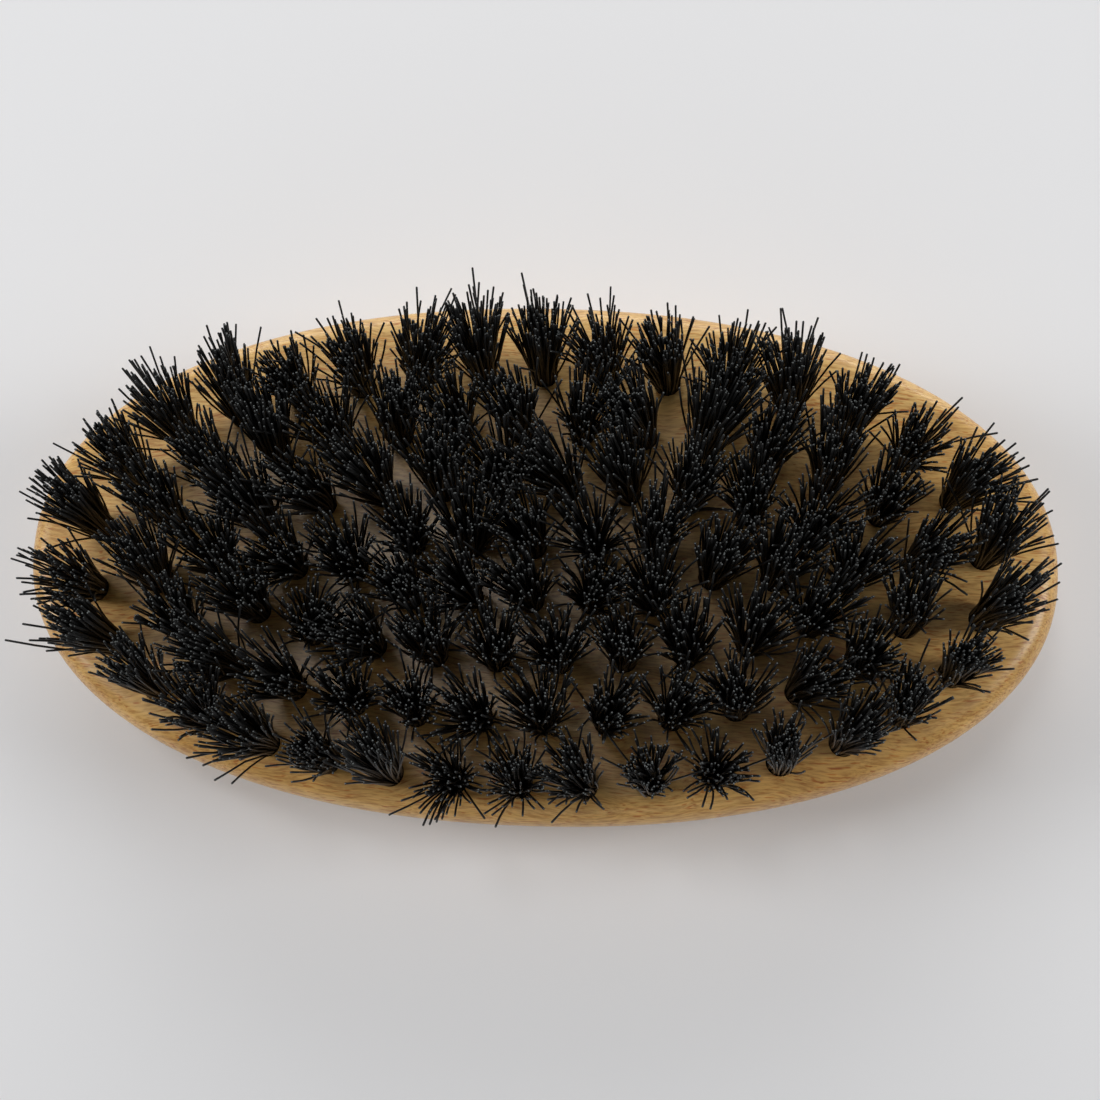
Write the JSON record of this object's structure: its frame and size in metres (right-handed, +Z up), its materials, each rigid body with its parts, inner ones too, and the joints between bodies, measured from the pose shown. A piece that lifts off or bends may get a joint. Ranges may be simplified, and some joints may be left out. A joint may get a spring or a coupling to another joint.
{
  "type": "clothes brush",
  "caption": "Oval wooden clothes brush lying on its back, with tufts of stiff black bristles set in blind holes across its flat face.",
  "frame": {"origin": "on the surface that the brush rests on, under the middle of the oval stock", "axes": "+X along the brush's length, +Y across it to the far side of the picture's view, +Z up, the way the bristles point"},
  "size_m": [0.12, 0.062, 0.0315],
  "materials": {
    "wood": "satin",
    "bristle": "matte",
    "anchor_steel": "satin"
  },
  "bodies": {
    "root": {"stock": "wood", "tuft_pair_outer_01": "bristle", "tuft_pair_outer_02": "bristle", "tuft_pair_outer_03": "bristle", "tuft_pair_outer_04": "bristle", "tuft_pair_outer_05": "bristle", "tuft_pair_outer_06": "bristle", "tuft_pair_outer_07": "bristle", "tuft_pair_outer_08": "bristle", "tuft_pair_outer_09": "bristle", "tuft_pair_outer_10": "bristle", "tuft_pair_outer_11": "bristle", "tuft_pair_outer_12": "bristle", "tuft_pair_outer_13": "bristle", "tuft_pair_outer_14": "bristle", "tuft_pair_outer_15": "bristle", "tuft_pair_outer_16": "bristle", "tuft_pair_outer_17": "bristle", "tuft_pair_second_01": "bristle", "tuft_pair_second_02": "bristle", "tuft_pair_second_03": "bristle", "tuft_pair_second_04": "bristle", "tuft_pair_second_05": "bristle", "tuft_pair_second_06": "bristle", "tuft_pair_second_07": "bristle", "tuft_pair_second_08": "bristle", "tuft_pair_second_09": "bristle", "tuft_pair_second_10": "bristle", "tuft_pair_second_11": "bristle", "tuft_pair_second_12": "bristle", "tuft_pair_second_13": "bristle", "tuft_pair_second_14": "bristle", "tuft_pair_third_01": "bristle", "tuft_pair_third_02": "bristle", "tuft_pair_third_03": "bristle", "tuft_pair_third_04": "bristle", "tuft_pair_third_05": "bristle", "tuft_pair_third_06": "bristle", "tuft_pair_third_07": "bristle", "tuft_pair_third_08": "bristle", "tuft_pair_third_09": "bristle", "tuft_pair_third_10": "bristle", "tuft_pair_third_11": "bristle", "tuft_inner_01": "bristle", "tuft_inner_02": "bristle", "tuft_inner_03": "bristle", "tuft_inner_04": "bristle", "tuft_inner_05": "bristle", "tuft_inner_06": "bristle", "tuft_inner_07": "bristle", "tuft_inner_08": "bristle", "tuft_inner_09": "bristle", "tuft_inner_10": "bristle", "tuft_inner_11": "bristle", "tuft_inner_12": "bristle", "tuft_inner_13": "bristle", "tuft_inner_14": "bristle"}
  },
  "joints": []
}
